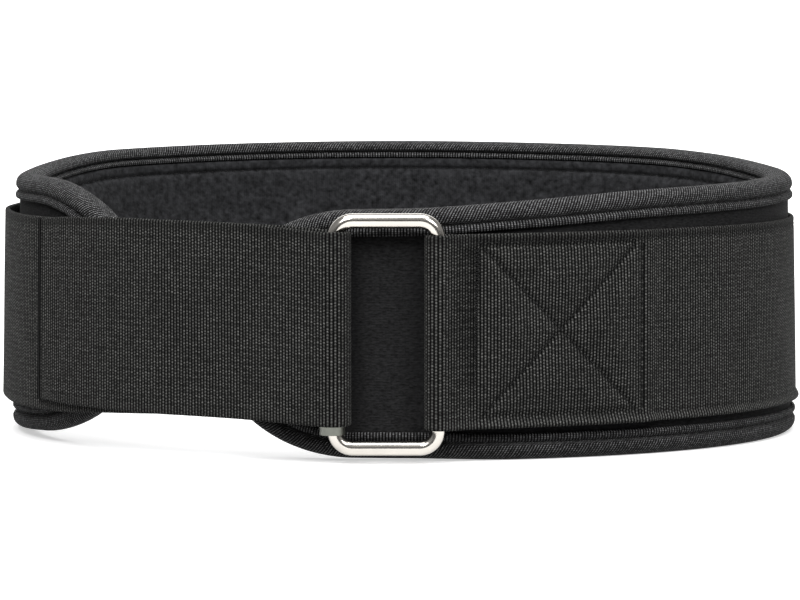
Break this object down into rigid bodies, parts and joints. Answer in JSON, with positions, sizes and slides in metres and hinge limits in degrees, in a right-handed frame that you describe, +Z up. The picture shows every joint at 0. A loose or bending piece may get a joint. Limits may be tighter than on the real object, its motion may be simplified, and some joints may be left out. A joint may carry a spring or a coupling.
{
  "type": "weightlifting belt",
  "caption": "Padded lifting belt with a bound edge and wide ribbed webbing sewn round it, fastened through a steel ring with a roller at the front.",
  "frame": {"origin": "middle of the belt's bounding box, at the height of the surface it stands on", "axes": "+X across the belt, its longest extent; -Y is the front with the ring; +Z up, its shortest extent"},
  "size_m": [0.334, 0.2576, 0.1162],
  "materials": {
    "face_fabric": "fine smooth knit",
    "lining": "brushed",
    "binding": "ribbed grosgrain",
    "webbing": "ribbed nylon webbing",
    "ring_steel": "polished nickel plate",
    "roller": "satin"
  },
  "bodies": {
    "root": {"padded_body": "face_fabric", "lining_panel": "lining", "edge_binding": "binding", "webbing_strap": "webbing", "buckle_ring": "ring_steel", "ring_roller": "roller"}
  },
  "joints": []
}
